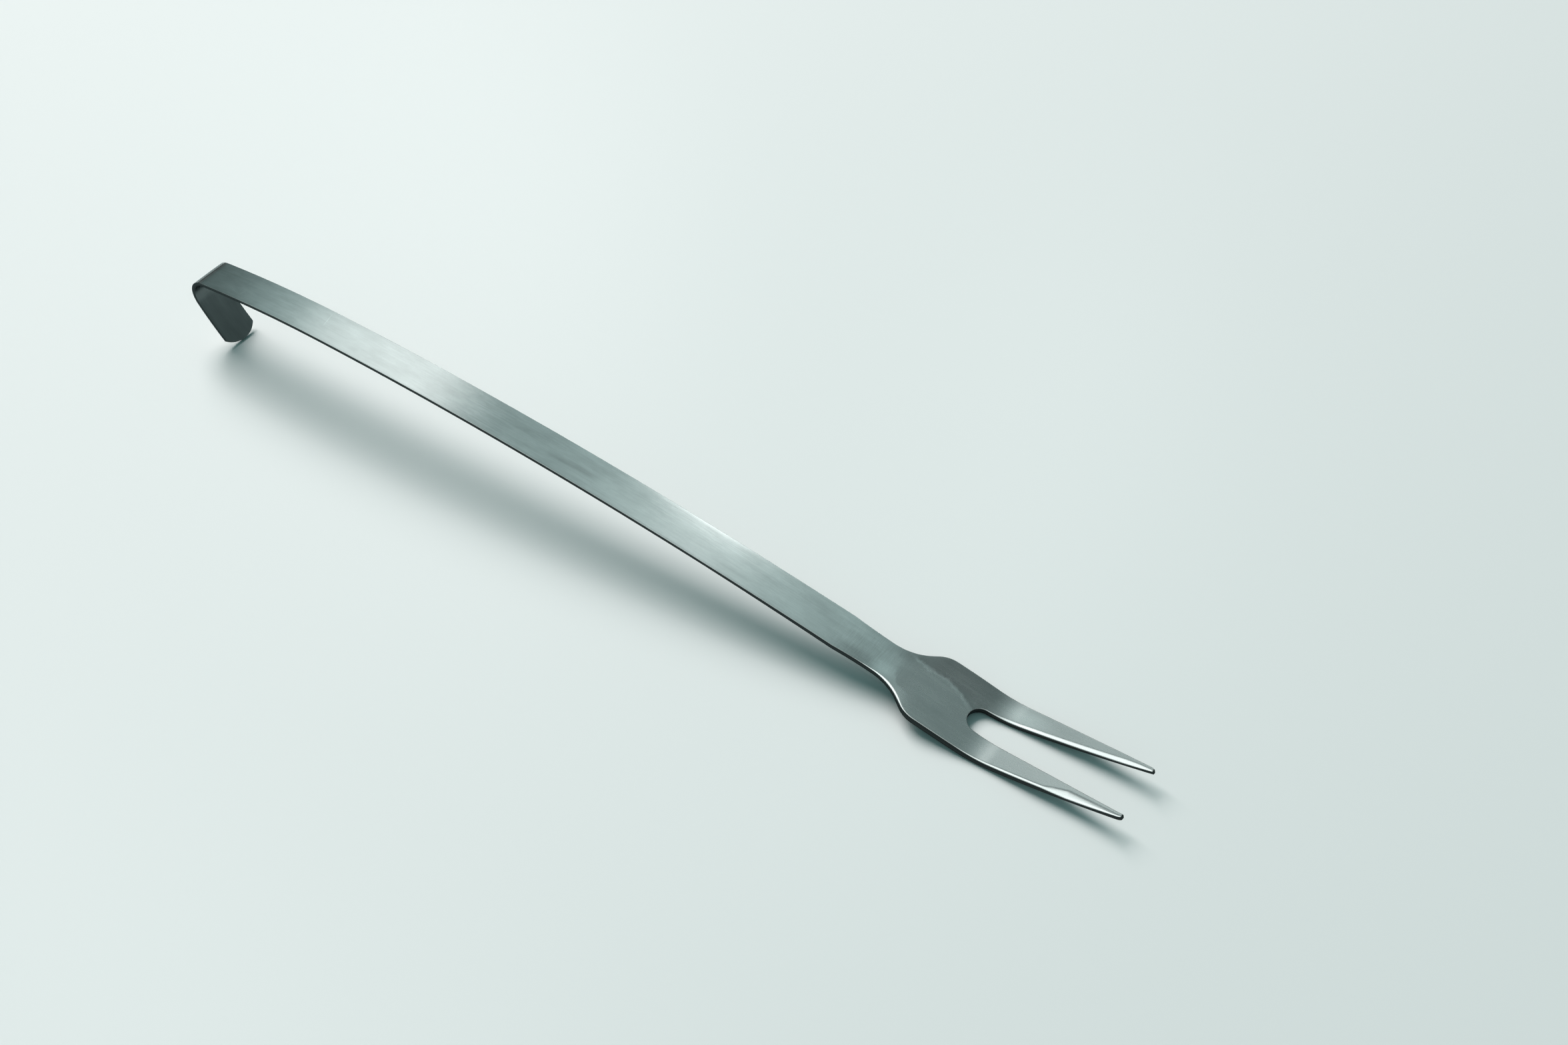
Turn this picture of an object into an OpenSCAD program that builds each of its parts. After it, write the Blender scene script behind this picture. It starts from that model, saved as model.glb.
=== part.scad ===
// Two-tine kitchen fork with a long flat strap handle that ends in a hook.
// X runs from the hook to the tine tips, Y across the strap and Z up.
// The fork lies on the plane z = 0, on the hook's end and on the heel of the head.

/* [Strap] */
// Width of the strap
strap_w = 18; // [15:0.5:22]
// Thickness of the strap
strap_t = 2; // [1.6:0.1:2.6]
// Radius of the long arch of the handle, at its top face
arch_r = 1790; // [1200:10:3000]
// Length of the long arch
arch_len = 316; // [220:2:380]
// Radius of the tighter crown between the arch and the hook
crown_r = 680; // [400:10:1500]
// Length of the crown
crown_len = 82; // [50:1:120]
// Length over which the strap grows as thick as the head, towards the neck
thick_run = 90; // [40:5:160]

/* [Hook] */
// Radius inside the hook's bend
hook_inner_r = 10; // [7:0.5:15]
// Angle of the hook's bend
hook_angle = 111; // [108:1:124]
// Radius of the hook's slightly curved leg
leg_r = 124; // [60:2:200]
// Length of the leg, from the bend to the corners of its end
leg_len = 22.4; // [14:0.2:34]
// Radius of the leg's rounded end
leg_end_r = 11.5; // [11.2:0.1:16]

/* [Neck weld] */
// Width of the weld at the underside
weld_root = 1.2; // [0.8:0.1:2]
// Angle of each side of the weld's groove
weld_bevel = 30; // [20:1:36]
// Angle at which the outline flares at the weld
neck_flare = 14; // [8:1:20]
// Radius of the hollow outline of the neck
neck_r = 26.5; // [20:0.5:40]
// Radius by which the strap narrows towards the neck
waist_r = 250; // [120:10:500]

/* [Head] */
// Thickness of the head
head_t = 2.9; // [2.2:0.1:3.6]
// Width across the shoulders
head_w = 35; // [31:0.2:40]
// Steepest angle of the outline between the neck and the shoulders
shoulder_angle = 34; // [26:1:45]
// Radius of each shoulder
shoulder_r = 14; // [8:0.5:18]
// Rise of the dished head's edges above its middle
dish_rise = 0.55; // [0:0.05:1.5]
// Half width of the dish's flat middle
dish_flat = 4; // [1:0.5:7]
// Length over which the dish grows out of the flat neck
dish_run = 14; // [8:1:24]
// Distance from the weld to the start of the heel's bend
heel_start = 40; // [36:1:60]
// Radius of the heel's bend, at the top face
heel_r = 52; // [30:1:120]
// Angle of the heel's bend
heel_angle = 16.6; // [6:0.2:22]

/* [Tines] */
// Length of the tines, from the end of the slot
tine_len = 76.8; // [50:0.2:100]
// Distance from the weld to the end of the slot
slot_start = 35.4; // [30:0.2:45]
// Width of the slot at its round end
slot_w = 11.2; // [8:0.2:14]
// Angle by which each side of the slot opens at its round end
slot_angle = 4; // [1:0.5:5]
// Radius by which the sides of the slot curve outwards
slot_side_r = 2000; // [1500:100:5000]
// Radius of the tines' outer sides
tine_side_r = 1200; // [1000:50:2500]
// Radius by which the tines curve upwards, at the top face
tine_curve_r = 1130; // [600:10:3000]
// Thickness at the blunt tips
tip_t = 1.9; // [1.2:0.1:2.2]
// Length over which the tines grow thinner towards the tips
tip_run = 71; // [15:1:72]
// Length over which the outer corner of each tip is rounded off
tip_nose = 2.2; // [1:0.1:4]

/* [Edges of the head] */
// Width of the rounding along the top edges
edge_round = 1.1; // [0.4:0.1:1.4]
// Depth of the rounding along the top edges
edge_depth = 0.7; // [0.3:0.1:0.8]
// Distance by which the outer edge stands out at its foot
edge_lean = 0.4; // [0:0.1:0.8]
// Small rounding along the bottom edges
under_edge = 0.3; // [0.1:0.1:0.3]

/* [Hidden] */
$fn = 96;
strap_steel = [0.66, 0.70, 0.70];
weld_steel = [0.58, 0.60, 0.59];
head_steel = [0.60, 0.64, 0.64];
cut_clear = 1;
// How far the hook's bore cuts into the metal at both ends of the bend, where it would only touch it
bore_lap = 0.05;
// How far the weld's groove is cut past the strap's faces
groove_clear = 0.5;
// Distance from the weld's top edge to the head's next section
first_gap = 0.5;

// Straight pieces that stand for each arc of the strap's profile
arch_steps = 48;
crown_steps = 12;
hook_steps = 28;
leg_steps = 6;
// Largest share of a tine's width that each rounded edge may take
edge_share = 0.42;
// Rows across half of the head's top and round each top edge
top_steps = 3;
edge_steps = 4;
// Sections before the slot, round its end, along the tines and round the nose of each tip
neck_sections = 18;
slot_sections = 5;
tine_sections = 20;
nose_sections = 4;

hook_outer_r = hook_inner_r + strap_t;
leg_end_rise = leg_end_r - sqrt(pow(leg_end_r, 2) - pow(strap_w / 2, 2));
slot_r = slot_w / 2;
tip_at = slot_start + tine_len;

function arc_angle(r, len) = len / r * 180 / PI;

// A place on the profile of the top face is [x, z, heading in degrees]. Each arc turns it left.
function arc_centre(place, r) = [place[0] - r * sin(place[2]), place[1] + r * cos(place[2])];
function after_arc(place, r, angle) =
    let (c = arc_centre(place, r), a = place[2] + angle)
    [c[0] + r * sin(a), c[1] - r * cos(a), a];
function after_line(place, len) =
    [place[0] + len * cos(place[2]), place[1] + len * sin(place[2]), place[2]];
// A point d to the left of a place.
function beside(place, d) = [place[0] - d * sin(place[2]), place[1] + d * cos(place[2])];

// The strap's profile starts at the weld and runs back to the end of the hook's leg.
arch_start = [0, 0, 180];
crown_start = after_arc(arch_start, arch_r, arc_angle(arch_r, arch_len));
hook_start = after_arc(crown_start, crown_r, arc_angle(crown_r, crown_len));
leg_start = after_arc(hook_start, hook_outer_r, hook_angle);
leg_corner = after_arc(leg_start, leg_r, arc_angle(leg_r, leg_len));
leg_tip = after_line(leg_corner, leg_end_rise);
hook_middle = arc_centre(hook_start, hook_outer_r);

// The head's profile starts at the weld and runs forward to the tips.
head_start = [0, 0, 0];
heel_place = after_line(head_start, heel_start);
heel_middle = arc_centre(heel_place, heel_r);
heel_len = heel_r * heel_angle * PI / 180;
tine_place = after_arc(heel_place, heel_r, heel_angle);
function head_place(u) =
    u < heel_start ? after_line(head_start, u)
    : u < heel_start + heel_len ? after_arc(heel_place, heel_r, arc_angle(heel_r, u - heel_start))
    : after_arc(tine_place, tine_curve_r, arc_angle(tine_curve_r, u - heel_start - heel_len));
tip_place = head_place(tip_at);

// The fork tilts until the leg's end and the heel's underside touch the same plane.
reach = [heel_middle[0] - leg_tip[0], heel_middle[1] - leg_tip[1]];
tilt = asin((heel_r + head_t) / norm(reach)) - atan2(reach[1], reach[0]);
function tilted(p) = [p[0] * cos(tilt) - p[1] * sin(tilt), p[0] * sin(tilt) + p[1] * cos(tilt)];
hook_end_x = tilted(hook_middle)[0] - hook_outer_r;
tip_end_x = tilted(beside(tip_place, -tip_t))[0];
x_shift = -(hook_end_x + tip_end_x) / 2;
z_shift = -tilted(leg_tip)[1];

// Half of the head's outline: a hollow neck arc, a straight flare, a shoulder arc, and the tine's side.
shoulder_w = head_w / 2 - edge_lean;
neck_end_u = neck_r * (sin(shoulder_angle) - sin(neck_flare));
neck_end_w = strap_w / 2 + neck_r * (cos(neck_flare) - cos(shoulder_angle));
shoulder_rise = shoulder_r * (1 - cos(shoulder_angle));
flare_len = (shoulder_w - shoulder_rise - neck_end_w) / tan(shoulder_angle);
shoulder_u = neck_end_u + flare_len;
shoulder_top_u = shoulder_u + shoulder_r * sin(shoulder_angle);
waist_u = -neck_r * sin(neck_flare);
waist_w = strap_w / 2 + neck_r * cos(neck_flare) - neck_r;
function arc_fall(r, d) = r - sqrt(r * r - d * d);
function outer_w(u) =
    u < neck_end_u ? waist_w + arc_fall(neck_r, u - waist_u)
    : u < shoulder_u ? neck_end_w + (u - neck_end_u) * tan(shoulder_angle)
    : u < shoulder_top_u ? shoulder_w - arc_fall(shoulder_r, shoulder_top_u - u)
    : shoulder_w - arc_fall(tine_side_r, u - shoulder_top_u);
function slot_side(u) = slot_r + (u - slot_start - slot_r) * tan(slot_angle)
    + arc_fall(slot_side_r, u - slot_start - slot_r);
function inner_w(u) =
    u <= slot_start ? 0
    : u < slot_start + slot_r ? sqrt(pow(slot_r, 2) - pow(slot_start + slot_r - u, 2))
    : slot_side(u);
// The tip's outer corner is rounded off over the last stretch.
function nosed_w(u) =
    let (d = u - (tip_at - tip_nose), w = outer_w(u), room = (w - inner_w(u)) / 2)
    d <= 0 ? w : w - min(room, tip_nose / 2) * (1 - sqrt(max(0, 1 - pow(d / tip_nose, 2))));
function head_depth(u) = head_t - (head_t - tip_t) * max(0, u - tip_at + tip_run) / tip_run;
function strap_depth(s) = strap_t + (head_t - strap_t) * max(0, 1 - s / thick_run);
function weld_edge(h) = weld_root / 2 + h * tan(weld_bevel);
function smooth(t) = let (s = max(0, min(1, t))) s * s * (3 - 2 * s);
function grown(u) = smooth((u - weld_edge(head_t)) / dish_run);
function dish(u, w) = dish_rise * grown(u) * max(0, w - dish_flat) / (head_w / 2 - dish_flat);

// One section is a closed loop of [width, depth below the top, rise of the dish]: over the top,
// down the outer edge, back underneath and up the edge at the slot.
function section(u) =
    let (
        wo = nosed_w(u), wi = inner_w(u), t = head_depth(u), g = grown(u),
        eo = min(edge_round * g, (wo - wi) * edge_share), ei = min(eo, wi),
        foot = wo + edge_lean * min(g, (wo - wi) / (2 * edge_round)),
        uo = under_edge * g, ui = min(uo, wi),
        turn = [for (i = [1 : edge_steps]) 90 * i / edge_steps],
        top = [for (i = [0 : top_steps]) [wi + ei + (wo - eo - wi - ei) * i / top_steps, 0]],
        outer = [for (a = turn) [wo - eo + eo * sin(a), edge_depth * (1 - cos(a))]],
        under = [for (i = [0 : top_steps]) [foot - uo - (foot - uo - wi - ui) * i / top_steps, t]],
        inner = [for (i = [edge_steps - 1 : -1 : 0])
            [wi + ei - ei * sin(turn[i]), edge_depth * (1 - cos(turn[i]))]],
        loop = concat(top, outer, [[foot, t - under_edge]], under, [[wi, t - under_edge]], inner)
    )
    [for (p = loop) [p[0], p[1], dish(u, p[0])]];

function spaced(a, b, n) = [for (i = [0 : n - 1]) a + (b - a) * i / n];
stations = concat(
    spaced(weld_edge(head_t) + first_gap, slot_start, neck_sections),
    [for (i = [0 : slot_sections - 1]) slot_start + slot_r * (1 - cos(90 * i / slot_sections))],
    spaced(slot_start + slot_r, tip_at - tip_nose, tine_sections),
    [for (i = [0 : nose_sections]) tip_at - tip_nose * (1 - sin(90 * i / nose_sections))]
);

// A point of a section, set square to the profile at u.
function on_profile(u, p) = let (q = beside(head_place(u), p[2] - p[1])) [q[0], p[0], q[1]];
function weld_face(p) =
    let (u = weld_edge(head_t - p[1]))
    [u, p[0] * outer_w(u) / outer_w(0), -p[1]];

// The mean of a loop's points, where the triangles of an end face meet.
function middle_of(loop) = [for (p = loop) 1] * loop / len(loop);

// One closed skin over the head, from the sloped face at the weld to both tips. Before the slot a
// section's inner edge lies on the middle line, where the halves meet, and has no skin.
module head_skin() {
    sections = concat(
        [[for (p = section(0)) weld_face(p)]],
        [for (u = stations) [for (p = section(u)) on_profile(u, p)]]
    );
    size = len(sections[0]);
    last = len(sections) - 1;
    inner_row = 2 * top_steps + edge_steps + 2;
    slot_section = neck_sections + 1;
    rings = [for (ring = sections) for (p = ring) p];
    right = concat(rings, [middle_of(sections[0]), middle_of(sections[last])]);
    left = [for (p = right) [p[0], -p[1], p[2]]];
    faces = concat(
        [for (j = [0 : size - 1]) [len(rings), (j + 1) % size, j]],
        [for (i = [0 : last - 1]) for (j = [0 : size - 1])
            let (k = (j + 1) % size, a = i * size, b = a + size)
            if (j < inner_row || i >= slot_section)
                each [[a + j, b + k, b + j], [a + j, a + k, b + k]]],
        [for (j = [0 : size - 1]) [len(rings) + 1, last * size + j, last * size + (j + 1) % size]]
    );
    mirrored = [for (face = faces) [for (k = [len(face) - 1 : -1 : 0]) face[k] + len(right)]];
    polyhedron(concat(right, left), concat(faces, mirrored));
}

// Side view of the strap. The inside of the hook's bend is left too thick here, for hook_bore, and
// the leg too long, for leg_trim.
module strap_profile() {
    function spread(place, r, angle, n) = [for (i = [0 : n - 1]) after_arc(place, r, angle * i / n)];
    arch = spread(arch_start, arch_r, arc_angle(arch_r, arch_len), arch_steps);
    crown = spread(crown_start, crown_r, arc_angle(crown_r, crown_len), crown_steps);
    bend = spread(hook_start, hook_outer_r, hook_angle, hook_steps);
    leg = concat(
        spread(leg_start, leg_r, arc_angle(leg_r, leg_len), leg_steps),
        [after_line(leg_tip, cut_clear)]
    );
    inside = concat(
        [for (i = [0 : arch_steps - 1]) beside(arch[i], strap_depth(arch_len * i / arch_steps))],
        [for (place = crown) beside(place, strap_t)],
        [for (i = [0 : hook_steps - 1]) beside(bend[i], strap_t + (i > 0 ? cut_clear : bore_lap))],
        [for (i = [0 : len(leg) - 1]) beside(leg[i], strap_t + (i > 0 ? 0 : bore_lap))]
    );
    outside = [for (place = concat(arch, crown, bend, leg)) [place[0], place[1]]];
    polygon(concat(outside, [for (i = [len(inside) - 1 : -1 : 0]) inside[i]]));
}

// The true round inside of the hook's bend.
module hook_bore() {
    translate([hook_middle[0], 0, hook_middle[1]])
        rotate([90, 0, 0])
            cylinder(h = strap_w + 2 * cut_clear, r = hook_inner_r, center = true);
}

// What is trimmed from the leg to leave its round end.
module leg_trim() {
    translate([leg_corner[0], 0, leg_corner[1]])
        rotate([0, -leg_corner[2], 0])
            translate([0, 0, strap_t / 2])
                difference() {
                    translate([-cut_clear, -strap_w / 2 - cut_clear, -strap_t])
                        cube([leg_end_rise + 3 * cut_clear, strap_w + 2 * cut_clear, 2 * strap_t]);
                    translate([leg_end_rise - leg_end_r, 0, 0])
                        cylinder(h = 3 * strap_t, r = leg_end_r, center = true);
                }
}

// The hollow outline of the neck, cut from both sides of the strap and the weld.
module neck_hollow() {
    depth = head_t + 2 * cut_clear;
    for (side = [-1, 1])
        translate([waist_u, 0, -head_t / 2]) {
            translate([0, side * (waist_w + neck_r), 0])
                cylinder(h = depth, r = neck_r, center = true);
            intersection() {
                translate([0, side * (waist_w + waist_r), 0])
                    cylinder(h = depth, r = waist_r, center = true);
                translate([-arch_len / 2, side * strap_w / 2, 0])
                    cube([arch_len, strap_w, depth], center = true);
            }
        }
}

// The weld's groove, wider at the top, drawn with a margin above and below.
module weld_groove(margin) {
    low = weld_edge(-margin);
    high = weld_edge(head_t + margin);
    rotate([90, 0, 0])
        linear_extrude(strap_w + 2 * cut_clear, center = true)
            polygon([[-low, -head_t - margin], [low, -head_t - margin], [high, margin], [-high, margin]]);
}

module on_surface() {
    translate([x_shift, 0, z_shift]) rotate([0, -tilt, 0]) children();
}

module handle_strap() {
    color(strap_steel) on_surface() difference() {
        rotate([90, 0, 0]) linear_extrude(strap_w, center = true) strap_profile();
        hook_bore();
        leg_trim();
        weld_groove(groove_clear);
        neck_hollow();
    }
}

module neck_weld() {
    color(weld_steel) on_surface() difference() {
        weld_groove(0);
        neck_hollow();
    }
}

module fork_head() {
    color(head_steel) on_surface() head_skin();
}

handle_strap();
neck_weld();
fork_head();
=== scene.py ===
import math

import bmesh
import bpy
import numpy as np
from mathutils import Matrix, Vector


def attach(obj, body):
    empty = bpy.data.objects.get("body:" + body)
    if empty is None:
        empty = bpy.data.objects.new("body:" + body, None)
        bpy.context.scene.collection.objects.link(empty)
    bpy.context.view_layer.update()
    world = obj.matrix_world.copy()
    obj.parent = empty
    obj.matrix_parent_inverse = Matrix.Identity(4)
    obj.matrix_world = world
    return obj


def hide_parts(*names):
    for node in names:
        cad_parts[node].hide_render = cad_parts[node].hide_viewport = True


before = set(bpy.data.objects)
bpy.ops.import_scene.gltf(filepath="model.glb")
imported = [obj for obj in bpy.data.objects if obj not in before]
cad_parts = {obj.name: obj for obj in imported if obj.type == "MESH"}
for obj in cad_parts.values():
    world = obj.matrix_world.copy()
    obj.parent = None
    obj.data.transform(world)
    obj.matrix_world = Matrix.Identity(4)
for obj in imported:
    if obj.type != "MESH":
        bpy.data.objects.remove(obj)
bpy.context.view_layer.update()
print("frame loaded:", ", ".join(sorted(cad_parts)))

mm = 0.001

# Sizes in millimetres and degrees, as the CAD has them. Every arc is on the top face.
strap = {
    "width": 18, "thickness": 2, "thickRun": 90,
    "archRadius": 1790, "archLength": 316, "crownRadius": 680, "crownLength": 82,
    "hookRadius": 10, "hookAngle": 111, "legRadius": 124, "legLength": 22.4, "legEndRadius": 11.5,
    "crown": 0.12,
}
weld = {"root": 1.2, "bevel": 30, "neckFlare": 14, "neckRadius": 26.5, "waistRadius": 250}
head = {
    "thickness": 2.9, "width": 35, "shoulderAngle": 34, "shoulderRadius": 14,
    "dishRise": 0.55, "dishFlat": 4, "dishRun": 14,
    "heelStart": 40, "heelRadius": 52, "heelAngle": 16.6,
    "edgeLean": 0.4, "leanRoom": 1.6,
}
tine = {
    "length": 76.8, "slotStart": 35.4, "slotWidth": 11.2, "slotAngle": 4, "slotSideRadius": 2000,
    "sideRadius": 1200, "curveRadius": 1130, "tipThickness": 1.9, "tipRun": 71, "tipNose": 2.2,
    "tipRound": 0.3, "edgeShare": 0.2, "cutFrom": 0.8,
}
# The far flank of the head is hollowed more than the solid's, and each tine has a facet ground
# along its near edge; along u, each width in millimetres or share of the tine's width.
flank = {"rise": 0.85, "flat": 7, "end": 26, "run": 18}
facet = {"angle": 16, "soft": 0.6, "near": [(40, 0), (60, 0.4), (78, 0.6), (82, 1.8), (90, 3.4), (112, 1.3)],
         "far": [(42, 0), (50, 0.5), (60, 0.8), (80, 1.1), (100, 1.4), (112, 1.2)],
         "share": 0.7, "columns": 8}
# The rounded edges of the top: along u, the width of those that face the near side and of the
# others, the depth as a share of the width, and how strongly a painted highlight lightens the near ones.
edge = {"near": [(-18, 0.14), (-6, 0.55), (2, 1.35), (9, 1.4), (15, 0.6), (36, 0.45), (50, 0.8)],
        "far": [(-10, 0.14), (10, 0.3), (50, 0.4)], "depth": 0.55, "under": 0.2, "ringStart": 0.8,
        "paintedShine": [(-14, 0), (-4, 0.9), (10, 1), (15, 0.45), (22, 0.1), (38, 0.1), (50, 1), (100, 1), (112, 0.7)]}


# The distance that an arc of radius r falls away from its tangent, after d along the tangent.
def arcFall(r, d):
    return r - np.sqrt(np.maximum(r * r - d * d, 0))


# 3t^2 - 2t^3, with t held between 0 and 1.
def smooth(t):
    t = np.clip(t, 0, 1)
    return t * t * (3 - 2 * t)


# The width of the top's rounded edge at u: the near table's by the share that it faces the near
# side, and the far table's by the rest.
def edgeWidth(u, facing):
    return facing * np.interp(u, *zip(*edge["near"])) + (1.0 - facing) * np.interp(u, *zip(*edge["far"]))


# How far a section's columns stand in from the sides and lie below the top, where it is this thick:
# the inward and down shares times the edge's width and depth.
def rounding(u, facing, columns, thick):
    wide = np.where(columns["under"] > 0, edge["under"], edgeWidth(u, facing))
    fall = columns["down"] * np.where(columns["under"] > 0, wide, wide * edge["depth"])
    return columns["inward"] * wide, np.where(columns["under"] > 0, thick - fall, fall)


# A walk along joined arcs: on each, the heading grows by the distance over the radius, and the
# place is the arc's start plus radius times the change of (sine, minus cosine) of the heading.
# Before the first arc and after the last the line goes straight on.
def walk(run, x, z, heading, arcs):
    run = np.asarray(run, float)
    back = np.minimum(run, 0)
    places = np.stack([x + back * np.cos(heading), z + back * np.sin(heading),
                       np.full(run.shape, heading)])
    left = run.copy()
    for radius, length in arcs:
        turn = np.clip(left, 0, length) / radius
        here = np.stack([x + radius * (np.sin(heading + turn) - np.sin(heading)),
                         z - radius * (np.cos(heading + turn) - np.cos(heading)), heading + turn])
        places = np.where(left > 0, here, places)
        full = length / radius
        x, z = (x + radius * (math.sin(heading + full) - math.sin(heading)),
                z - radius * (math.cos(heading + full) - math.cos(heading)))
        heading += full
        left = left - length
    on = np.maximum(left, 0)
    straight = np.stack([x + on * np.cos(heading), z + on * np.sin(heading),
                         np.full(run.shape, heading)])
    return np.where(left > 0, straight, places)


strapThick = strap["thickness"]
hookOuter = strap["hookRadius"] + strapThick
strapArcs = [
    (strap["archRadius"], strap["archLength"]),
    (strap["crownRadius"], strap["crownLength"]),
    (hookOuter, hookOuter * math.radians(strap["hookAngle"])),
    (strap["legRadius"], strap["legLength"]),
]
headArcs = [
    (1e9, head["heelStart"]),
    (head["heelRadius"], head["heelRadius"] * math.radians(head["heelAngle"])),
    (tine["curveRadius"], 1e3),
]
strapLength = sum(length for radius, length in strapArcs)
halfStrap = strap["width"] / 2
endFoot = math.sqrt(strap["legEndRadius"] ** 2 - halfStrap ** 2)
endRise = strap["legEndRadius"] - endFoot


def strapWalk(s):
    return walk(s, 0, 0, math.pi, strapArcs)


def headWalk(u):
    return walk(u, 0, 0, 0, headArcs)


# The fork tilts until the leg's end and the heel's underside touch the floor.
legX, legZ, legHeading = strapWalk(strapLength + endRise)
heelX, heelZ = head["heelStart"], head["heelRadius"]
reach = (heelX - legX, heelZ - legZ)
tilt = (math.asin((head["heelRadius"] + head["thickness"]) / math.hypot(*reach))
        - math.atan2(reach[1], reach[0]))


# A turn by the tilt about the weld.
def turned(x, z):
    return x * math.cos(tilt) - z * math.sin(tilt), x * math.sin(tilt) + z * math.cos(tilt)


tipAt = tine["slotStart"] + tine["length"]
hookStart = strap["archLength"] + strap["crownLength"]
hookX, hookZ, hookHeading = strapWalk(hookStart)
bendX = hookX - hookOuter * math.sin(hookHeading)
bendZ = hookZ + hookOuter * math.cos(hookHeading)
tipX, tipZ, tipHeading = headWalk(tipAt)
tipFootX = tipX + tine["tipThickness"] * math.sin(tipHeading)
tipFootZ = tipZ - tine["tipThickness"] * math.cos(tipHeading)
shiftX = -(turned(bendX, bendZ)[0] - hookOuter + turned(tipFootX, tipFootZ)[0]) / 2
shiftZ = -turned(legX, legZ)[1]


# Points in metres from the profile's places, the distance across and the height above the top
# face: place plus height times the profile's upward normal, tilted and set on the floor.
def stand(places, across, height, up):
    x = places[0] - up * height * np.sin(places[2])
    z = places[1] + up * height * np.cos(places[2])
    x, z = turned(x, z)
    return np.stack([x + shiftX, across, z + shiftZ], -1) * mm


# Half the width of the neck and the strap at a distance u in front of the weld, the strap being
# at u < 0: two arcs that meet at the waist.
waistU = -weld["neckRadius"] * math.sin(math.radians(weld["neckFlare"]))
waistW = halfStrap - weld["neckRadius"] * (1 - math.cos(math.radians(weld["neckFlare"])))


def neckWidth(u):
    ahead = waistW + arcFall(weld["neckRadius"], np.clip(u - waistU, 0, weld["neckRadius"]))
    behind = waistW + arcFall(weld["waistRadius"], np.clip(waistU - u, 0, weld["waistRadius"]))
    return np.where(u > waistU, ahead, np.minimum(behind, halfStrap))


# The distance from the weld's middle to its sloped side, at a height above the underside.
def weldSide(height):
    return weld["root"] / 2 + height * math.tan(math.radians(weld["bevel"]))


weldTop = weldSide(head["thickness"])


# The columns of a closed section: over the top, round the first edge, back underneath and round
# the other edge. Each has its share of the way across, whether it is at the underside, how much
# of the edge's width it stands in, how much of the edge's depth it lies down and how much of it
# is side face.
def sectionColumns(shareFrom, shareTo, topCount, edgeCount, underCount, twoEdges=True):
    turn = np.linspace(0, math.pi / 2, edgeCount + 1)[1:]
    ones = np.ones(edgeCount)
    flatTop = np.linspace(shareFrom, shareTo, topCount)
    flatUnder = flatTop[::-1] if underCount == topCount else np.linspace(shareTo, shareFrom, underCount)
    rows = [
        (flatTop, flatTop * 0, flatTop * 0 + 1, flatTop * 0),
        (ones * shareTo, ones * 0, 1 - np.sin(turn), 1 - np.cos(turn)),
        (ones * shareTo, ones, 1 - np.cos(turn - turn[0]), 1 - np.sin(turn - turn[0])),
        (flatUnder, flatUnder * 0 + 1, flatUnder * 0 + 1, flatUnder * 0),
    ]
    if twoEdges:
        rows += [
            (ones * shareFrom, ones, 1 - np.cos(turn - turn[0])[::-1], 1 - np.sin(turn - turn[0])[::-1]),
            (ones * shareFrom, ones * 0, 1 - np.sin(turn)[::-1], 1 - np.cos(turn)[::-1]),
            (flatTop[:1], flatTop[:1] * 0, flatTop[:1] * 0 + 1, flatTop[:1] * 0),
        ]
    share, under, inward, down = (np.concatenate(part) for part in zip(*rows))
    return {"share": share, "under": under, "inward": inward, "down": down}


# A closed piece from grids of points and their UV places: quads between neighbours, a face of
# many corners over each end loop, doubles merged and edges over 35 degrees kept sharp.
def makeSkin(name, grids, caps):
    points, uvs, faces, start = [], [], [], 0
    for grid, uv in grids:
        rows, columns = grid.shape[:2]
        index = start + np.arange(rows * columns).reshape(rows, columns)
        faces.append(np.stack([index[:-1, :-1], index[:-1, 1:], index[1:, 1:], index[1:, :-1]],
                              -1).reshape(-1, 4))
        points.append(grid.reshape(-1, 3))
        uvs.append(uv.reshape(-1, uv.shape[-1]))
        start += rows * columns
    points, uvs, faces = np.concatenate(points), np.concatenate(uvs), np.concatenate(faces)
    a, b, c, d = (points[faces[:, k]] for k in range(4))
    volume = (np.einsum("ij,ij->i", a, np.cross(b, c)) + np.einsum("ij,ij->i", a, np.cross(c, d))).sum()
    capFaces = [list(cap) for cap in caps]
    if volume < 0:
        faces = faces[:, ::-1]
        capFaces = [cap[::-1] for cap in capFaces]
    mesh = bpy.data.meshes.new(name)
    allFaces = faces.tolist() + capFaces
    mesh.from_pydata(points.tolist(), [], allFaces)
    corners = np.concatenate([faces.ravel()] + [np.array(cap) for cap in capFaces]).astype(int)
    layer = mesh.uv_layers.new(name="along")
    layer.data.foreach_set("uv", (uvs[corners, :2]).astype(np.float32).ravel())
    for number, share in ((2, "sideFace"), (3, "polish")):
        layer = mesh.attributes.new(share, "FLOAT", "CORNER")
        layer.data.foreach_set("value", uvs[corners, number].astype(np.float32))
    work = bmesh.new()
    work.from_mesh(mesh)
    bmesh.ops.remove_doubles(work, verts=work.verts, dist=2e-7)
    bmesh.ops.recalc_face_normals(work, faces=work.faces)
    for edge in work.edges:
        edge.smooth = edge.calc_face_angle(0) < math.radians(35)
    work.to_mesh(mesh)
    work.free()
    mesh.polygons.foreach_set("use_smooth", np.ones(len(mesh.polygons), bool))
    mesh.update()
    piece = bpy.data.objects.new(name, mesh)
    bpy.context.scene.collection.objects.link(piece)
    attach(piece, "root")
    return piece
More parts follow.
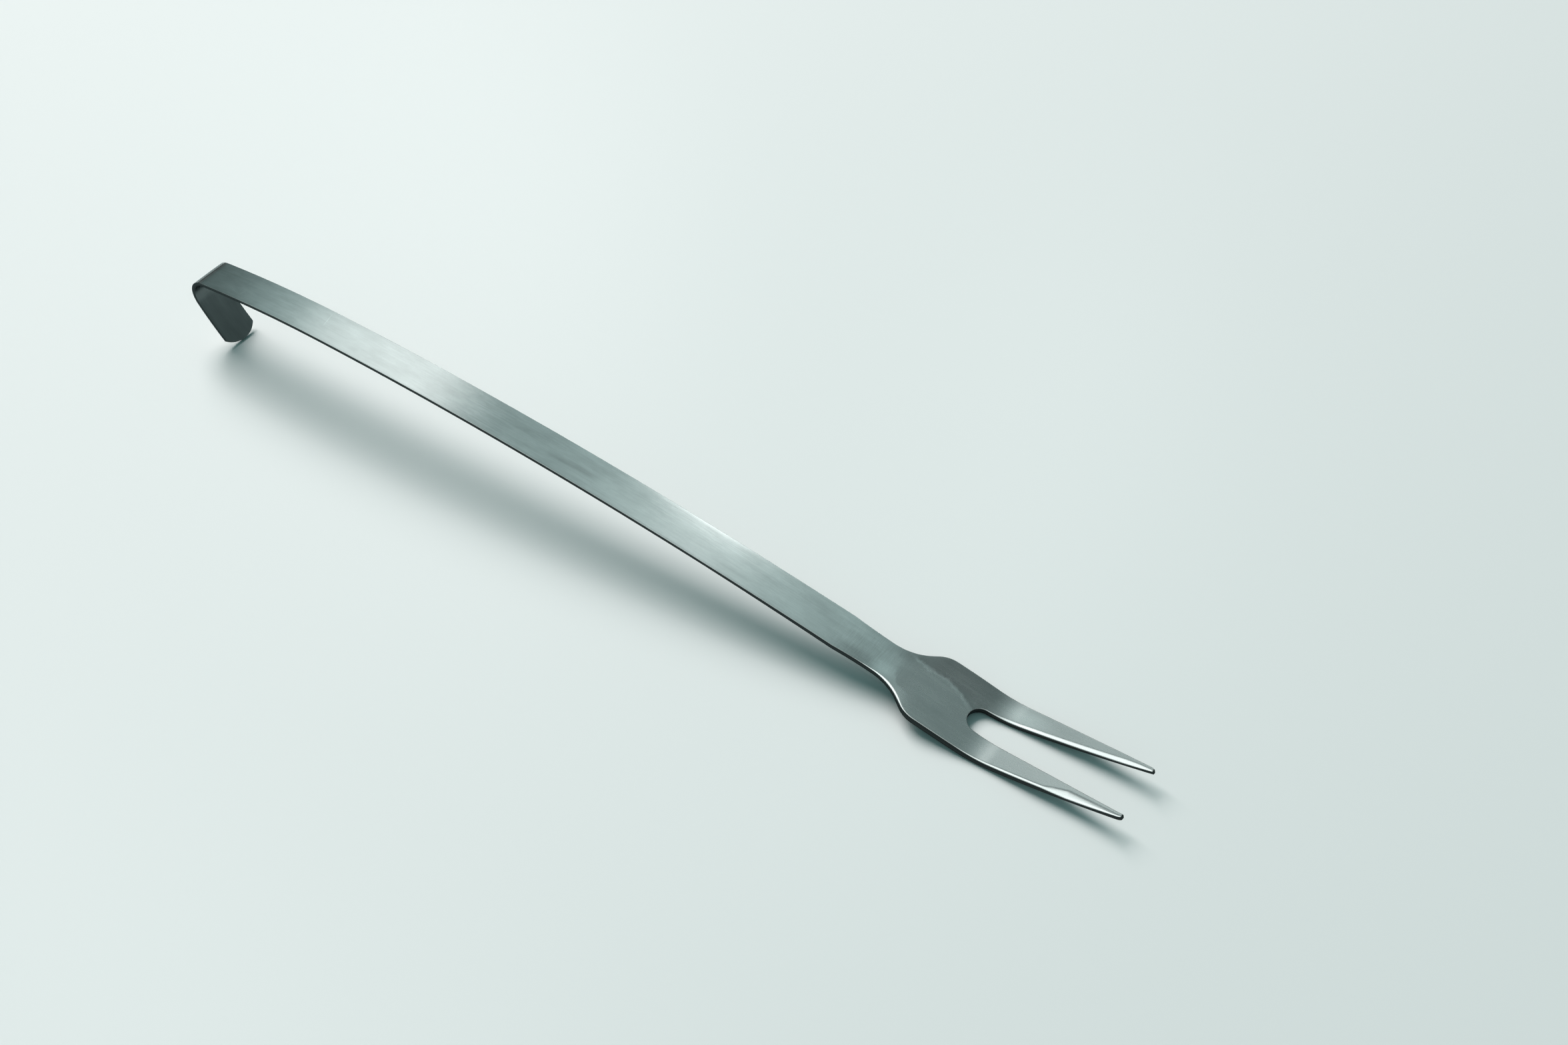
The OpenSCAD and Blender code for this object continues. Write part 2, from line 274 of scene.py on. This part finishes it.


# UV places, and two shares for each column: how much it is side face, from 0 on the flats to 1 at
# the rounded edge's foot, and how much it is polished edge carrying a painted highlight, only on the
# edges that face the near side. The stronger that painted highlight, the lower down the side face starts.
def loopUv(along, across, columns, facing):
    paintedShine = np.interp(along, *zip(*edge["paintedShine"])) * facing
    side = np.clip((columns["down"] - 0.1 - 0.5 * paintedShine) * 3, 0, 1)
    polish = paintedShine * (1 - columns["under"]) * np.clip(columns["down"] * 8, 0, 1) * (1 - side)
    under = np.broadcast_to(columns["under"], across.shape)
    return np.stack([along * mm, across * mm + under * 0.1, side, polish], -1)


# The strap: rows run back from the weld. A row's half width is the outline's, less the edge's
# inset, and round the leg's end the rows fan out about the end arc's middle, so that the edge
# keeps its width there. Depth goes along the profile's normal.
def strapSkin():
    columns = sectionColumns(-1, 1, 13, 6, 13)
    facing = 1.0 * (columns["share"] < 0)
    stations = np.concatenate([
        np.linspace(3, 60, 40), np.linspace(60, hookStart, 110)[1:],
        np.linspace(hookStart, hookStart + strapArcs[2][1], 48)[1:],
        np.linspace(hookStart + strapArcs[2][1], strapLength - 0.6, 22)[1:],
    ])
    s = np.repeat(stations[:, None], len(facing), 1)
    inset, deep = rounding(-s, facing, columns, strapThick + (head["thickness"] - strapThick)
                           * np.maximum(0, 1 - s / strap["thickRun"]))
    halfWidth = neckWidth(-s) - inset
    weldInset, weldDeep = rounding(-weldTop, facing, columns, head["thickness"])
    weldRow = weldSide(head["thickness"] - weldDeep)[None]
    s = np.concatenate([weldRow, s])
    halfWidth = np.concatenate([neckWidth(-weldRow) - weldInset, halfWidth])
    deep = np.concatenate([weldDeep[None], deep, np.repeat(deep[-1:], 25, 0)])
    inset = inset[-1]
    radius = strap["legEndRadius"] - inset
    first = np.arccos((halfStrap - inset) / radius)
    swing = first + (math.pi / 2 - first) * np.linspace(0, 1, 25)[:, None]
    endMiddle = strapLength - endFoot
    s = np.concatenate([s, endMiddle + radius * np.sin(swing)])
    halfWidth = np.concatenate([halfWidth, radius * np.cos(swing)])
    halfWidth[-1] = 0
    across = columns["share"] * halfWidth
    fade = smooth((s - 20) / 40) * strap["crown"] * (1 - columns["under"])
    grid = stand(strapWalk(s), across, -deep - fade * (across / halfStrap) ** 2, -1)
    return makeSkin("strap_body", [(grid, loopUv(-s, across, columns, facing))],
                    [range(grid.shape[1] - 1)])


# The weld's bead: rows step across the groove, each at a share of the way to the sloped sides.
def weldSkin():
    columns = sectionColumns(-1, 1, 13, 6, 13)
    facing = 1.0 * (columns["share"] < 0)
    step = np.linspace(-1, 1, 11)[:, None]
    inset, deep = rounding(step * weldTop, facing, columns, head["thickness"])
    u = step * weldSide(head["thickness"] - deep)
    across = columns["share"] * (neckWidth(u) - inset)
    grid = stand(headWalk(u), across, -deep, 1)
    width = grid.shape[1]
    return makeSkin("weld_bead", [(grid, loopUv(u, across, columns, facing))],
                    [range(width - 1), range(10 * width, 11 * width - 1)])


shoulder = {"angle": math.radians(head["shoulderAngle"]), "radius": head["shoulderRadius"],
            "width": head["width"] / 2 - head["edgeLean"]}
neckEndU = weld["neckRadius"] * (math.sin(shoulder["angle"]) - math.sin(math.radians(weld["neckFlare"])))
neckEndW = halfStrap + weld["neckRadius"] * (math.cos(math.radians(weld["neckFlare"]))
                                             - math.cos(shoulder["angle"]))
shoulderRise = shoulder["radius"] * (1 - math.cos(shoulder["angle"]))
shoulderU = neckEndU + (shoulder["width"] - shoulderRise - neckEndW) / math.tan(shoulder["angle"])
shoulderTop = shoulderU + shoulder["radius"] * math.sin(shoulder["angle"])
slotRadius = tine["slotWidth"] / 2
slotMiddle = tine["slotStart"] + slotRadius


# Half the head's width: the neck's arc, a straight flare, the shoulder's arc and the tine's side.
def outerWidth(u):
    flare = neckEndW + (u - neckEndU) * math.tan(shoulder["angle"])
    round_ = shoulder["width"] - arcFall(shoulder["radius"],
                                         np.clip(shoulderTop - u, 0, shoulder["radius"]))
    side = shoulder["width"] - arcFall(tine["sideRadius"], np.maximum(u - shoulderTop, 0))
    return np.select([u < neckEndU, u < shoulderU, u < shoulderTop],
                     [neckWidth(u), flare, round_], side)


# Half the slot's width past its round end: a slope and a slight outward curve.
def slotSide(u):
    d = np.maximum(u - slotMiddle, 0)
    return slotRadius + d * math.tan(math.radians(tine["slotAngle"])) + arcFall(tine["slotSideRadius"], d)


# How far the head's own form has grown, from 0 at the weld to 1.
def grown(u):
    return smooth((u - weldTop) / head["dishRun"])


# The rise of the dished top above its middle: straight flanks beside a flat floor. The far flank
# starts farther out and is steeper, up to where the tines begin.
def dish(u, w, side):
    own = smooth((flank["end"] + flank["run"] - u) / flank["run"]) * (side > 0)
    rise = head["dishRise"] + (flank["rise"] - head["dishRise"]) * own
    flat = head["dishFlat"] + (flank["flat"] - head["dishFlat"]) * own
    return rise * grown(u) * np.maximum(0, np.abs(w) - flat) / (head["width"] / 2 - flat)


# The facet's width at u, held to a share of the flat top's.
def facetWidth(u, side, flat):
    return np.minimum(np.interp(u, *zip(*facet["near" if side < 0 else "far"])), facet["share"] * flat)


# Shares across a row of top columns with the last ones gathered on the facet, so that a column
# runs along its ridge. Where the facet hasn't started the shares stay as they are.
def ridgeShare(share, u, side, ridge, topCount):
    knee = 1 - facet["columns"] / (topCount - 1)
    own = share if side < 0 else 1 - share
    bent = knee + (1 - ridge - knee) * smooth((u - 36) / 12)
    own = np.where(own < knee, own / knee * bent, bent + (own - knee) / (1 - knee) * (1 - bent))
    return own if side < 0 else 1 - own


# One half of the head. Before the slot a row runs from the middle line to the outer edge; round
# the slot's end it starts on a circle about the end's middle, so that the edge there keeps its
# width, and along a tine it starts at the slot's side. The last rows shrink about the tip's
# middle by the tip's rounding.
def headHalf(side):
    topCount = 25
    neckColumns = sectionColumns(0, 1, topCount, 8, topCount, twoEdges=False)
    tineColumns = sectionColumns(0, 1, topCount, 8, topCount)

    def inwardFacing(theta):
        return 0.5 + 0.5 * side * np.sin(np.maximum(theta, 0))[:, None]

    def build(columns, rowU, theta, shrink):
        share, under, inward, down = (columns[k] for k in ("share", "under", "inward", "down"))
        g = grown(rowU)
        outer = outerWidth(rowU)
        inner = np.where(rowU < slotMiddle, 0, slotSide(rowU))
        room = np.where(theta < 0, outer, outer - np.where(rowU < slotMiddle,
                        slotRadius * np.sin(np.maximum(theta, 0)), inner))
        past = rowU - (tipAt - tine["tipNose"])
        nose = np.where(past > 0, np.minimum(room / 2, tine["tipNose"] / 2)
                        * (1 - np.sqrt(np.clip(1 - (past / tine["tipNose"]) ** 2, 0, 1))), 0)
        outer = outer - nose
        room = room - nose
        most = (room * tine["edgeShare"])[:, None]
        topOut = np.minimum(edgeWidth(rowU[:, None], side < 0), most)
        topIn = np.minimum(edgeWidth(rowU[:, None], inwardFacing(theta)), most)
        topFall = edge["depth"] * np.where(share < 0.5, topIn, topOut)
        wideOut, wideIn = (np.where(under > 0, edge["under"], wide) for wide in (topOut, topIn))
        thick = head["thickness"] - (head["thickness"] - tine["tipThickness"]) * np.maximum(
            0, rowU - tipAt + tine["tipRun"]) / tine["tipRun"]
        thick = thick[:, None]
        deep = np.where(under > 0, thick - down * edge["under"], down * topFall)
        lean = head["edgeLean"] * np.minimum(g, room / head["leanRoom"])[:, None] * np.clip(
            (deep - topFall) / (thick - topFall), 0, 1)
        outY = outer[:, None] - inward * wideOut + lean
        onRing = (theta >= 0)[:, None] & (rowU < slotMiddle)[:, None]
        ring = slotRadius + inward * wideIn
        swing = np.maximum(theta, 0)[:, None]
        innerY = np.where(onRing, ring * np.sin(swing),
                          np.where(inner[:, None] > 0, inner[:, None] + inward * wideIn, 0))
        innerU = np.where(onRing, slotMiddle - ring * np.cos(swing), rowU[:, None])
        span = (outY - innerY)[:, :1]
        wide = facetWidth(rowU[:, None], side, span)
        share = np.where(theta[:, None] < 0, share,
                         ridgeShare(share, rowU[:, None], side, wide / span, topCount))
        y = innerY + (outY - innerY) * share
        u = innerU + (rowU[:, None] - innerU) * share
        flatEnd = outer[:, None] - topOut if side < 0 else inner[:, None] + topIn
        deepIn = np.maximum(0, wide - (flatEnd - y if side < 0 else y - flatEnd)) * smooth(wide / 0.4)
        drop = deepIn ** 2 / (deepIn + facet["soft"]) * math.tan(math.radians(facet["angle"]))
        spare = thick - topFall - edge["under"] - 0.3
        height = dish(u, y, side) - deep - np.minimum(drop, spare) * (1 - under)
        centreY = y[:, :-1].mean(1, keepdims=True)
        centreH = height[:, :-1].mean(1, keepdims=True)
        y = centreY + (y - centreY) * shrink[:, None]
        height = centreH + (height - centreH) * shrink[:, None]
        onFacet = (1 - under) * smooth(deepIn / 0.9)
        return u, y, height, onFacet

    firstInset, firstDeep = rounding(weldTop, float(side < 0), neckColumns, head["thickness"])
    firstRow = weldSide(head["thickness"] - firstDeep)
    neckRows = np.concatenate([[weldTop], np.linspace(3, tine["slotStart"] - edge["ringStart"], 70)])
    u, y, height, onFacet = build(neckColumns, neckRows, -np.ones(len(neckRows)), np.ones(len(neckRows)))
    u[0], y[0] = firstRow, neckColumns["share"] * (neckWidth(firstRow) - firstInset)
    neckGrid = stand(headWalk(u), side * y, height, 1)
    neckUv = loopUv(u, side * y, neckColumns, float(side < 0))

    theta = np.linspace(0, math.pi / 2, 25)
    ringRows = slotMiddle - (slotRadius + edge["ringStart"]) * np.cos(theta)
    turn = np.linspace(0, math.pi / 2, 7)
    tipRound = tine["tipRound"]
    tineRows = np.concatenate([
        np.linspace(slotMiddle, tipAt - tine["tipNose"], 120)[1:],
        np.linspace(tipAt - tine["tipNose"], tipAt - tipRound, 10)[1:],
        tipAt - tipRound + tipRound * np.sin(turn[1:]),
    ])
    rows = np.concatenate([ringRows, tineRows])
    angles = np.concatenate([theta, np.full(len(tineRows), math.pi / 2)])
    shrink = np.ones(len(rows))
    shrink[-6:] = 1 - tipRound / (tine["tipThickness"] / 2) * (1 - np.cos(turn[1:]))
    u, y, height, onFacet = build(tineColumns, rows, angles, shrink)
    tineGrid = stand(headWalk(u), side * y, height, 1)
    tineUv = loopUv(u, side * y, tineColumns,
                    np.where(tineColumns["share"] < 0.5, inwardFacing(angles), float(side < 0)))
    cut = smooth((u - tipAt + tine["cutFrom"]) / 0.4)
    tineUv[..., 2] = np.maximum(tineUv[..., 2], cut)
    # The facets carry the same painted highlight as the polished near edges.
    tineUv[..., 3] = np.maximum(tineUv[..., 3], onFacet) * (1 - tineUv[..., 2])
    joint = neckGrid.shape[1]
    neckGrid[-1], neckUv[-1] = tineGrid[0, :joint], tineUv[0, :joint]
    return (neckGrid, neckUv), (tineGrid, tineUv)


def headSkin():
    grids, caps, start = [], [], 0
    for side in (1, -1):
        for number, (grid, uv) in enumerate(headHalf(side)):
            if side < 0:
                grid, uv = grid[:, ::-1], uv[:, ::-1]
            rows, columns = grid.shape[:2]
            if number == 0:
                caps.append(range(start, start + columns))
            else:
                caps.append(range(start + (rows - 1) * columns, start + rows * columns - 1))
            grids.append((grid, uv))
            start += rows * columns
    return makeSkin("head_body", grids, caps)


strapPiece = strapSkin()
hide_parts("handle_strap")
weldPiece = weldSkin()
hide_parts("neck_weld")
headPiece = headSkin()
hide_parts("fork_head")
print("steel pieces made:", len(strapPiece.data.polygons), len(weldPiece.data.polygons),
      len(headPiece.data.polygons))


# One socket of a shader, with the arithmetic of its Math nodes.
class Flow:
    def __init__(self, tree, socket):
        self.tree, self.socket = tree, socket

    def node(self, kind, settings=None, inputs=None, output=0):
        made = self.tree.nodes.new(kind)
        for name, value in (settings or {}).items():
            if name == "stops":
                ramp = made.color_ramp
                while len(ramp.elements) < len(value):
                    ramp.elements.new(0.5)
                for element, (place, colour) in zip(ramp.elements, value):
                    element.position = place
                    element.color = (*colour, 1)
            else:
                setattr(made, name, value)
        for name, value in (inputs or {}).items():
            if isinstance(value, Flow):
                self.tree.links.new(value.socket, made.inputs[name])
            else:
                made.inputs[name].default_value = value
        return Flow(self.tree, made.outputs[output])

    def math(self, operation, other=0):
        return self.node("ShaderNodeMath", {"operation": operation}, {0: self, 1: other})

    def mix(self, share, first, second):
        first, second = ((*c, 1) if isinstance(c, tuple) else c for c in (first, second))
        return self.node("ShaderNodeMix", {"data_type": "RGBA"}, {"Factor": share, 6: first, 7: second},
                         output=2)

    def __add__(self, other):
        return self.math("ADD", other)

    def __sub__(self, other):
        return self.math("SUBTRACT", other)

    def __rsub__(self, other):
        return self.node("ShaderNodeMath", {"operation": "SUBTRACT"}, {0: other, 1: self})

    def __mul__(self, other):
        return self.math("MULTIPLY", other)

    __radd__ = __add__
    __rmul__ = __mul__


def newMaterial(name):
    material = bpy.data.materials.new(name)
    material.use_nodes = True
    tree = material.node_tree
    tree.nodes.clear()
    out = tree.nodes.new("ShaderNodeOutputMaterial")
    shader = tree.nodes.new("ShaderNodeBsdfPrincipled")
    tree.links.new(shader.outputs[0], out.inputs[0])
    return material, tree, shader


finish = {
    "dark": (0.2, 0.215, 0.212), "light": (0.82, 0.87, 0.86), "side": (0.03, 0.037, 0.037),
    "burr": (0.075, 0.09, 0.09), "under": (0.125, 0.155, 0.155), "strapTone": 0.65, "headTone": 0.36, "strapRough": 0.12,
    "headRough": 0.27, "lineDepth": 0.008, "paintedHighlightTone": 0.26, "tinePaintedSheen": 0.1,
}
# Soft patches of lighter and darker tone: u, v, half length, half width in millimetres and the change of tone.
patches = [
    (-166, -1.5, 14, 2.4, -0.24), (-177, -2.4, 9, 2.2, -0.14), (-195, 2.5, 20, 4, -0.06),
    (-79, -4.8, 12, 1.6, -0.10), (-222, 4, 10, 5, -0.05), (-22, 6, 18, 6, 0.12),
    (-16, -6, 13, 5, -0.26), (-3, -5, 8, 6, 0.2), (0, 8, 8, 5, -0.14), (-300, 3, 30, 5, 0.05),
    (12, 0, 22, 9, 0.03), (50, -12, 10, 8, 0.05), (55, 11, 16, 7, 0.26),
    # Painted shade over the hook's bend.
    (-409, 0, 13, 60, -0.6),
]
scratches = [(-373.8, -7.6, -372.8, -1.2), (-375.4, 4.0, -374.6, 1.4), (-321, -2.0, -323.4, 7.8)]
crease = [(2, 8.2), (12, 7.0), (20, 7.4), (28, 5.1), (33, 2.4), (40, 0)]


# Brushed steel, in tones between dark and light along the piece's own u and v in millimetres: noise
# stretched along the strap for the brush lines, longer smears, broad blotches, a cross-polished patch
# at the neck, patches that fall off as (1 - d^2)^2 and fine scratches. Painted light goes in as well:
# a painted highlight on the polished near edges and the facets, lighter tines as a painted reflection,
# painted shade over the hook's bend, and painted shade on the head's far flank behind a painted
# highlight along the crease. Side faces are left dark, and the underside darker, its rougher finish
# deepened by painted shade.
def steelMaterial(name):
    material, tree, shader = newMaterial(name)
    base = Flow(tree, None)
    uv = base.node("ShaderNodeUVMap", {"uv_map": "along"})
    side, polish = (base.node("ShaderNodeAttribute", {"attribute_name": share}, output=2)
                    for share in ("sideFace", "polish"))
    u = base.node("ShaderNodeSeparateXYZ", {}, {"Vector": uv}) * 1000
    rawV = base.node("ShaderNodeSeparateXYZ", {}, {"Vector": uv}, output=1) * 1000
    under = rawV.math("GREATER_THAN", 50)
    v = rawV - under * 100

    def noise(alongScale, acrossScale, detail):
        place = base.node("ShaderNodeMapping", {}, {"Vector": uv, "Scale": (alongScale, acrossScale, 1)})
        return base.node("ShaderNodeTexNoise", {"noise_dimensions": "2D"}, {
            "Vector": place, "Scale": 1, "Detail": detail, "Roughness": 0.6}) - 0.5

    def step(value, low, high):
        return base.node("ShaderNodeMapRange", {"interpolation_type": "SMOOTHSTEP"}, {
            "Value": value, "From Min": low, "From Max": high})

    def patch(midU, midV, halfU, halfV):
        du, dv = (u - midU) * (1 / halfU), (v - midV) * (1 / halfV)
        left = (1 - (du * du + dv * dv)).math("MAXIMUM", 0)
        return left * left

    def scratch(u0, v0, u1, v1):
        run = math.hypot(u1 - u0, v1 - v0)
        cu, cv = (u1 - u0) / run, (v1 - v0) / run
        along = (u - u0) * cu + (v - v0) * cv
        off = ((u - u0) * cv - (v - v0) * cu).math("ABSOLUTE")
        ends = (along * (run - along) * (4 / run ** 2)).math("MAXIMUM", 0)
        return (1 - off * 7).math("MAXIMUM", 0) * ends

    onHead = step(u, -10, 8)
    lines, smears, blotches = noise(30, 5200, 3), noise(22, 1500, 4), noise(55, 170, 4)
    quiet = 1 - onHead * 0.65
    tone = (finish["strapTone"] + onHead * (finish["headTone"] - finish["strapTone"])
            # The tines are lightened: a painted reflection.
            + step(u, 40, 58) * finish["tinePaintedSheen"] + noise(2400, 2400, 1) * 0.09
            # The polished near edges and the facets are lightened: a painted highlight.
            + (lines * 0.15 + smears * 0.14 + blotches * 0.36) * quiet + polish * finish["paintedHighlightTone"]
            + noise(1500, 140, 3) * patch(-12, 0, 26, 30) * 0.35)
    for *place, gain in patches:
        tone = tone + patch(*place) * gain
    for place in scratches:
        tone = tone + scratch(*place) * 0.35
    ragged = noise(420, 420, 4)
    around = ((u - 10.3) * (u - 10.3) + v * v).math("SQRT") + ragged * 4
    tone = tone + step(around, 8, 10) * step(u, 14, 7) * step(u, -12, -2) * step(v, 7, -4) * 0.2
    # Painted shade darkens the head's far flank beyond the crease, and a painted highlight runs along the crease.
    span = crease[-1][0]
    bend = base.node("ShaderNodeValToRGB", {"stops": [(at / span, [wide / 10] * 3) for at, wide in crease]},
                     {"Fac": u * (1 / span)})
    past = v - base.node("ShaderNodeSeparateXYZ", {}, {"Vector": bend}) * 10 + ragged * 2.6
    tone = tone - step(past, 0, 1.6) * step(u, 2, 7) * step(u, 52, 36) * 0.2
    tone = tone + (1 - past.math("ABSOLUTE") * 0.8).math("MAXIMUM", 0) * step(u, 2, 6) * step(u, 36, 30) * (
        0.16 + ragged * 0.5)
    tone = tone.math("MINIMUM", 1).math("MAXIMUM", 0)
    colour = base.mix(tone, finish["dark"], finish["light"])
    # The underside is darker: its rougher finish, deepened by painted shade.
    colour = base.mix(under, colour, base.mix(0.6 + blotches + smears * 0.4, (0.08, 0.10, 0.10), finish["under"]))
    colour = base.mix(side, colour, finish["side"])
    burr = (1 - (rawV - 52).math("ABSOLUTE") * 0.12).math("MAXIMUM", 0)
    colour = base.mix(side * burr, colour, finish["burr"])
    rough = (finish["strapRough"] + onHead * (finish["headRough"] - finish["strapRough"])
             + blotches * 0.08 + smears * 0.06 + side * 0.25 + under * 0.2 - onHead * polish * 0.12)
    bump = base.node("ShaderNodeBump", {}, {
        "Strength": 1.0, "Distance": finish["lineDepth"] * mm, "Height": lines * quiet})
    for socket, value in (("Base Color", colour), ("Roughness", rough), ("Normal", bump)):
        tree.links.new(value.socket, shader.inputs[socket])
    shader.inputs["Metallic"].default_value = 1
    shader.inputs["Specular Tint"].default_value = (0.5, 0.55, 0.55, 1)
    return material


for piece, materialName in ((strapPiece, "strapBrushed"), (weldPiece, "weldDressed"),
                            (headPiece, "headSatin")):
    piece.data.materials.append(steelMaterial(materialName))
print("steel finished")

stage = {"size": 30.0, "colour": (0.825, 0.838, 0.828, 1), "rough": 0.3}


def makeFloor():
    half = stage["size"] / 2
    mesh = bpy.data.meshes.new("floor")
    mesh.from_pydata([(-half, -half, 0), (half, -half, 0), (half, half, 0), (-half, half, 0)], [],
                     [(0, 1, 2, 3)])
    floor = bpy.data.objects.new("floor", mesh)
    bpy.context.scene.collection.objects.link(floor)
    material, tree, shader = newMaterial("paleTable")
    shader.inputs["Base Color"].default_value = stage["colour"]
    shader.inputs["Roughness"].default_value = stage["rough"]
    mesh.materials.append(material)
    return floor


makeFloor()

# Where each lamp hangs, where it faces, its size in metres and its radiance. The lamps light the
# table and the fork and no steel shows them.
lamps = {
    "keyBox": {"at": (-2.52, 1.134, 3.045), "to": (0, 0, 0), "size": (2.6, 2.6), "glow": 9.0,
               "tint": (1.0, 0.96, 0.956)},
    "overBox": {"at": (0.85, -0.35, 1.8), "to": (0, 0, 0), "size": (3.2, 3.0), "glow": 0.08,
                "tint": (0.6, 1.0, 0.992)},
}
# Boards that only the polished steel shows. Each runs along X at a distance from the strap, leans
# over to one side by an angle from straight above, and glows by the stops along its length.
boards = {
    "backBoard": {"lean": 38, "far": 1.5, "from": -2.7, "to": 0.9, "across": 0.85, "glow": 1.6, "stops": [
        (-2.5, 0.10), (-2.01, 0.18), (-1.79, 0.34), (-1.58, 0.5), (-1.42, 0.84), (-1.32, 1.05),
        (-1.2, 1.12), (-1.02, 1.32), (-0.97, 1.15), (-0.905, 0.42), (-0.78, 0.42), (-0.66, 0.41),
        (-0.55, 0.55), (-0.44, 0.72), (-0.33, 0.95), (-0.18, 0.62), (-0.06, 0.48), (0.05, 0.36),
        (0.3, 0.34), (0.8, 0.3)]},
    "sideBoard": {"lean": 44, "far": 1.4, "from": -0.46, "to": -0.18, "across": 0.52, "glow": 2.4,
                  "stops": [(-0.46, 0.5), (-0.38, 1.4), (-0.31, 2.0), (-0.26, 1.7), (-0.18, 0.6)]},
    "frontBoard": {"lean": -24, "far": 1.5, "from": -2.6, "to": 1.3, "across": 1.95, "glow": 2.4,
                   "stops": [(-2.6, 0.3), (-1.9, 1.1), (-1.2, 1.6), (-0.4, 1.5), (0.6, 0.9), (1.3, 0.5)]},
}


def hangLamp(name, look):
    data = bpy.data.lights.new(name, "AREA")
    data.shape = "RECTANGLE"
    data.size, data.size_y = look["size"]
    data.energy = look["glow"] * look["size"][0] * look["size"][1] * math.pi
    data.color = look["tint"]
    lamp = bpy.data.objects.new(name, data)
    lamp.location = look["at"]
    facing = Vector(look["to"]) - Vector(look["at"])
    lamp.rotation_euler = facing.to_track_quat("-Z", "Y").to_euler()
    lamp.visible_camera = lamp.visible_glossy = False
    bpy.context.scene.collection.objects.link(lamp)


# The board's glow is its greatest radiance times a ramp on its own X. The dimmer it is, the more
# it leans to blue-green.
def tinted(glow, most):
    return [glow * tint / most for tint in (0.66 + 0.29 * min(1, glow / 1.2), 1.0, 0.99)]


def hangBoard(name, look):
    half = look["across"] / 2
    ends = look["from"], look["to"]
    mesh = bpy.data.meshes.new(name)
    mesh.from_pydata([(ends[0], -half, 0), (ends[1], -half, 0), (ends[1], half, 0), (ends[0], half, 0)],
                     [], [(0, 1, 2, 3)])
    material, tree, shader = newMaterial(name)
    base = Flow(tree, None)
    x = base.node("ShaderNodeSeparateXYZ", {}, {"Vector": base.node("ShaderNodeTexCoord", output=3)})
    stops = [((place - ends[0]) / (ends[1] - ends[0]), tinted(glow, look["glow"]))
             for place, glow in look["stops"]]
    ramp = base.node("ShaderNodeValToRGB", {"stops": stops},
                     {"Fac": (x - ends[0]) * (1 / (ends[1] - ends[0]))})
    tree.links.new(ramp.socket, shader.inputs["Emission Color"])
    shader.inputs["Base Color"].default_value = (0, 0, 0, 1)
    shader.inputs["Emission Strength"].default_value = look["glow"]
    mesh.materials.append(material)
    board = bpy.data.objects.new(name, mesh)
    lean = math.radians(look["lean"])
    board.location = (0, look["far"] * math.sin(lean), look["far"] * math.cos(lean))
    board.rotation_euler = (-lean, 0, 0)
    bpy.context.scene.collection.objects.link(board)
    board.visible_camera = board.visible_diffuse = False
    board.visible_shadow = board.visible_transmission = False


for lampName, lampLook in lamps.items():
    hangLamp(lampName, lampLook)
for boardName, boardLook in boards.items():
    hangBoard(boardName, boardLook)

world = bpy.data.worlds.new("studio")
bpy.context.scene.world = world
world.use_nodes = True
sky = Flow(world.node_tree, None)
direction = sky.node("ShaderNodeTexCoord")
height = sky.node("ShaderNodeSeparateXYZ", {}, {"Vector": direction}, output=2)
fill = sky.node("ShaderNodeValToRGB", {"stops": [
    (0.0, (0.15, 0.29, 0.288)), (0.5, (0.125, 0.24, 0.238)), (1.0, (0.082, 0.157, 0.156))]},
    {"Fac": height})
dim = sky.node("ShaderNodeValToRGB", {"stops": [
    (0.0, (0.105, 0.12, 0.12)), (0.5, (0.194, 0.22, 0.219)), (1.0, (0.264, 0.30, 0.298))]},
    {"Fac": height})
# The steel shows a pale room, bright at eye level and dark only beyond the hook, and the camera a
# plain pale backdrop.
room = sky.node("ShaderNodeValToRGB", {"stops": [
    (0.0, (0.56, 0.63, 0.625)), (0.35, (0.40, 0.46, 0.455)), (0.8, (0.21, 0.25, 0.249))]},
    {"Fac": height})
ahead = sky.node("ShaderNodeMapRange", {"interpolation_type": "SMOOTHSTEP"}, {
    "Value": sky.node("ShaderNodeSeparateXYZ", {}, {"Vector": direction}), "From Min": -0.75, "From Max": -0.3})
room = sky.mix(ahead, dim, room)
skyTone = sky.mix(sky.node("ShaderNodeLightPath", output=3), fill, room)
skyTone = sky.mix(sky.node("ShaderNodeLightPath"), skyTone, (0.50, 0.56, 0.555))
world.node_tree.links.new(skyTone.socket, world.node_tree.nodes["Background"].inputs["Color"])

view = {"eye": (0.4124, -0.3950, 0.61995), "target": (0.05642, 0.04692, 0), "roll": -4.19,
        "lens": 43.3, "sensor": 36}
cameraData = bpy.data.cameras.new("camera")
cameraData.lens, cameraData.sensor_width = view["lens"], view["sensor"]
cameraData.clip_start, cameraData.clip_end = 0.01, 50
camera = bpy.data.objects.new("camera", cameraData)
aim = (Vector(view["target"]) - Vector(view["eye"])).to_track_quat("-Z", "Y").to_matrix()
camera.matrix_world = Matrix.Translation(view["eye"]) @ (
    aim @ Matrix.Rotation(math.radians(view["roll"]), 3, "Z")).to_4x4()
bpy.context.scene.collection.objects.link(camera)
bpy.context.scene.camera = camera
bpy.context.scene.view_settings.view_transform = "Standard"
print("stage, lamps and camera set")
